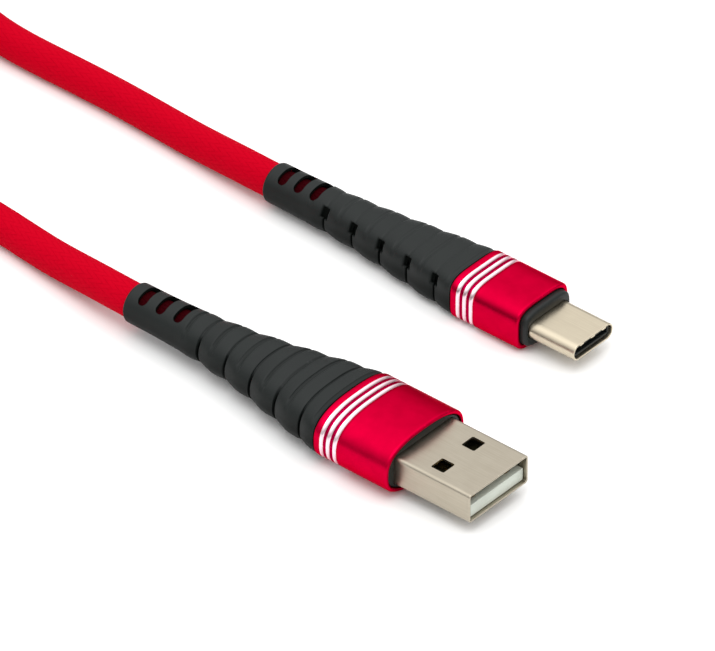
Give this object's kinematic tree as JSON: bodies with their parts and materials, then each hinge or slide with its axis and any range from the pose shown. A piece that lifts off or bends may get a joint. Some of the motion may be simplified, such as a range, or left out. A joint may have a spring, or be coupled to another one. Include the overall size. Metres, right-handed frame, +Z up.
{
  "type": "charging cable",
  "caption": "Braided charging cable with a rectangular type-A plug and a reversible type-C plug, anodised collars, ribbed boots and a strapped coil.",
  "frame": {"origin": "centre of the two plugs' bounding box, on the surface that they lie on", "axes": "+X the way both plugs point, +Z up, +Y from the type-A plug towards the type-C plug"},
  "size_m": [0.1972, 0.0666, 0.0104],
  "materials": {
    "steel": "satin nickel-plated steel",
    "pale_steel": "satin nickel-plated steel, slightly warm",
    "red_aluminium": "satin red anodised, with bright cut bands",
    "black_rubber": "moulded, satin",
    "black_plastic": "moulded, fine matt",
    "pale_plastic": "moulded, satin",
    "gold": "gold-plated",
    "tin": "tinned, dull",
    "circuit_board": "green solder mask",
    "ceramic_chip": "matt black",
    "red_braid": "woven nylon braid",
    "grey_jacket": "extruded, satin",
    "strap": "hook-and-loop webbing",
    "wire_red": "insulated wire",
    "wire_white": "insulated wire",
    "wire_green": "insulated wire",
    "wire_black": "insulated wire"
  },
  "bodies": {
    "cord": {"cord_lead_a": "red_braid", "cord_lead_c": "red_braid", "cord_coil": "red_braid", "cable_tie": "strap"},
    "type_a_plug": {"type_a_shell": "steel", "type_a_tongue": "pale_plastic", "type_a_contact_power": "gold", "type_a_contact_data_minus": "gold", "type_a_contact_data_plus": "gold", "type_a_contact_ground": "gold", "type_a_rear_shield_top": "tin", "type_a_rear_shield_bottom": "tin", "type_a_wire_power": "wire_red", "type_a_wire_data_minus": "wire_white", "type_a_wire_data_plus": "wire_green", "type_a_wire_ground": "wire_black", "type_a_inner_jacket": "grey_jacket", "type_a_crimp_ring": "tin", "type_a_cord_end": "red_braid", "type_a_core": "black_plastic", "type_a_collar": "red_aluminium", "type_a_boot": "black_rubber"},
    "type_c_plug": {"type_c_shell": "pale_steel", "type_c_insulator": "black_plastic", "type_c_contact_a1_ground": "gold", "type_c_contact_a4_power": "gold", "type_c_contact_a5_config": "gold", "type_c_contact_a6_data_plus": "gold", "type_c_contact_a7_data_minus": "gold", "type_c_contact_a9_power": "gold", "type_c_contact_a12_ground": "gold", "type_c_contact_b1_ground": "gold", "type_c_contact_b4_power": "gold", "type_c_contact_b5_supply": "gold", "type_c_contact_b9_power": "gold", "type_c_contact_b12_ground": "gold", "type_c_ground_spring_top": "tin", "type_c_ground_spring_bottom": "tin", "type_c_board": "circuit_board", "type_c_resistor": "ceramic_chip", "type_c_rear_shield_top": "tin", "type_c_rear_shield_bottom": "tin", "type_c_wire_power": "wire_red", "type_c_wire_data_minus": "wire_white", "type_c_wire_data_plus": "wire_green", "type_c_wire_ground": "wire_black", "type_c_inner_jacket": "grey_jacket", "type_c_crimp_ring": "tin", "type_c_cord_end": "red_braid", "type_c_core": "black_plastic", "type_c_collar": "red_aluminium", "type_c_boot": "black_rubber"},
    "type_c_latch_left": {"type_c_latch_left": "tin"},
    "type_c_latch_right": {"type_c_latch_right": "tin"}
  },
  "joints": [
    {"name": "type_a_flex", "type": "hinge", "parent": "cord", "child": "type_a_plug", "pos_m": [-0.01845, -0.0156, 0.0043], "axis": [0, -1, 0], "range_deg": [0, 45], "stiffness_Nm_per_rad": 0.02, "deforming": ["type_a_boot", "type_a_cord_end"]},
    {"name": "type_c_flex", "type": "hinge", "parent": "cord", "child": "type_c_plug", "pos_m": [-0.02305, 0.0182, 0.0035], "axis": [0, -1, 0], "range_deg": [0, 45], "stiffness_Nm_per_rad": 0.02, "deforming": ["type_c_boot", "type_c_cord_end"]},
    {"name": "latch_left", "type": "slide", "parent": "type_c_plug", "child": "type_c_latch_left", "axis": [0, 1, 0], "range_m": [0, 0.0002], "stiffness_N_per_m": 1500},
    {"name": "latch_right", "type": "slide", "parent": "type_c_plug", "child": "type_c_latch_right", "axis": [0, -1, 0], "range_m": [0, 0.0002], "stiffness_N_per_m": 1500}
  ]
}
